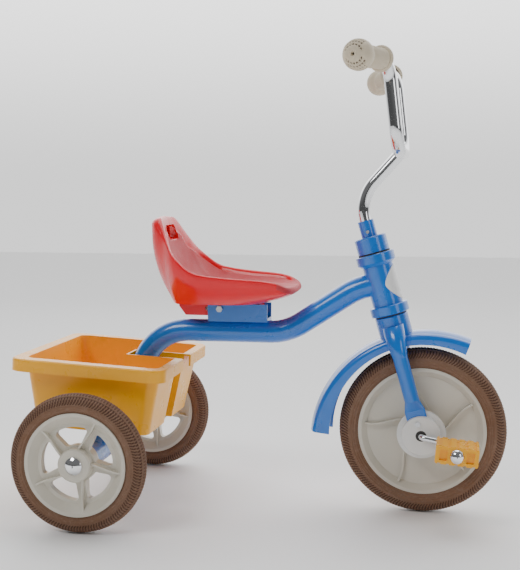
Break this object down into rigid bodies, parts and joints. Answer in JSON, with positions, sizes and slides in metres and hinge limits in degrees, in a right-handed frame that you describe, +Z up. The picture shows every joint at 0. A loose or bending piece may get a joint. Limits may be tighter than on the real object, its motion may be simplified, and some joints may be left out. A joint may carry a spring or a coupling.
{
  "type": "children's tricycle",
  "caption": "Children's tricycle: bent steel frame tube, pedal-driven spoked-look front wheel under a mudguard, high-back plastic seat, tall handlebar and a tub behind, between the rear wheels.",
  "frame": {"origin": "on the ground, under the middle of the tricycle's length and width", "axes": "+X forward, +Y to the rider's left, +Z up"},
  "size_m": [0.7241, 0.4358, 0.6802],
  "materials": {
    "blue_paint": "glossy powder coat",
    "chrome": "polished",
    "zinc_steel": "zinc plated",
    "red_plastic": "glossy sides, fine matt grain on top",
    "yellow_plastic": "satin moulded",
    "beige_plastic": "satin moulded",
    "brown_rubber": "matt rubber",
    "grip_rubber": "soft matt",
    "white_plastic": "satin moulded",
    "black_plastic": "matt",
    "badge": "gloss label"
  },
  "bodies": {
    "frame": {"rear_axle_tube": "blue_paint", "main_frame_tube": "blue_paint", "head_tube": "blue_paint", "lower_head_bush": "black_plastic", "upper_head_bush": "black_plastic", "head_badge": "badge", "rear_axle_rod": "zinc_steel", "rear_axle_plugs": "black_plastic", "rear_axle_washers": "zinc_steel", "rear_axle_caps": "chrome", "seat_bracket": "blue_paint", "seat_bolt": "zinc_steel", "seat_bolt_nut": "zinc_steel", "bin": "yellow_plastic", "bin_supports": "blue_paint", "bin_screws": "zinc_steel", "bin_nuts": "zinc_steel"},
    "seat": {"seat_shell": "red_plastic", "seat_rail": "red_plastic"},
    "steering": {"steerer_tube": "blue_paint", "fork_crown": "blue_paint", "fork_leg_right": "blue_paint", "fork_leg_left": "blue_paint", "mudguard": "blue_paint", "steering_cap": "blue_paint", "stem_screw": "zinc_steel", "handlebar_stem": "chrome", "handlebar_bar": "chrome", "grip_right": "grip_rubber", "grip_left": "grip_rubber", "hub_cover_right": "white_plastic", "hub_cover_left": "white_plastic", "front_axle_bush_right": "black_plastic", "front_axle_bush_left": "black_plastic", "hub_cover_screws": "zinc_steel"},
    "front_wheel": {"front_wheel": "beige_plastic", "front_tyre": "brown_rubber", "crank_axle": "chrome", "front_hub_washers": "zinc_steel", "pedal_washers": "zinc_steel", "pedal_caps": "chrome"},
    "pedal_right": {"pedal_right": "yellow_plastic"},
    "pedal_left": {"pedal_left": "yellow_plastic"},
    "rear_wheel_right": {"rear_wheel_right": "beige_plastic", "rear_tyre_right": "brown_rubber", "rear_hub_bush_right": "black_plastic"},
    "rear_wheel_left": {"rear_wheel_left": "beige_plastic", "rear_tyre_left": "brown_rubber", "rear_hub_bush_left": "black_plastic"}
  },
  "joints": [
    {"name": "steering_turn", "type": "hinge", "parent": "frame", "child": "steering", "pos_m": [0.23705, 0, 0.125], "axis": [-0.2706, 0, 0.9627], "range_deg": [-60, 60]},
    {"name": "front_wheel_spin", "type": "hinge", "parent": "steering", "child": "front_wheel", "pos_m": [0.23705, 0, 0.125], "axis": [0, 1, 0], "continuous": true},
    {"name": "pedal_right_spin", "type": "hinge", "parent": "front_wheel", "child": "pedal_right", "pos_m": [0.28908, 0, 0.11489], "axis": [0, 1, 0], "continuous": true},
    {"name": "pedal_left_spin", "type": "hinge", "parent": "front_wheel", "child": "pedal_left", "pos_m": [0.18502, 0, 0.13511], "axis": [0, 1, 0], "continuous": true},
    {"name": "rear_wheel_right_spin", "type": "hinge", "parent": "frame", "child": "rear_wheel_right", "pos_m": [-0.23695, 0, 0.1], "axis": [0, 1, 0], "continuous": true},
    {"name": "rear_wheel_left_spin", "type": "hinge", "parent": "frame", "child": "rear_wheel_left", "pos_m": [-0.23695, 0, 0.1], "axis": [0, 1, 0], "continuous": true},
    {"name": "seat_slide", "type": "slide", "parent": "frame", "child": "seat", "axis": [1, 0, 0], "range_m": [-0.02, 0.02]}
  ]
}
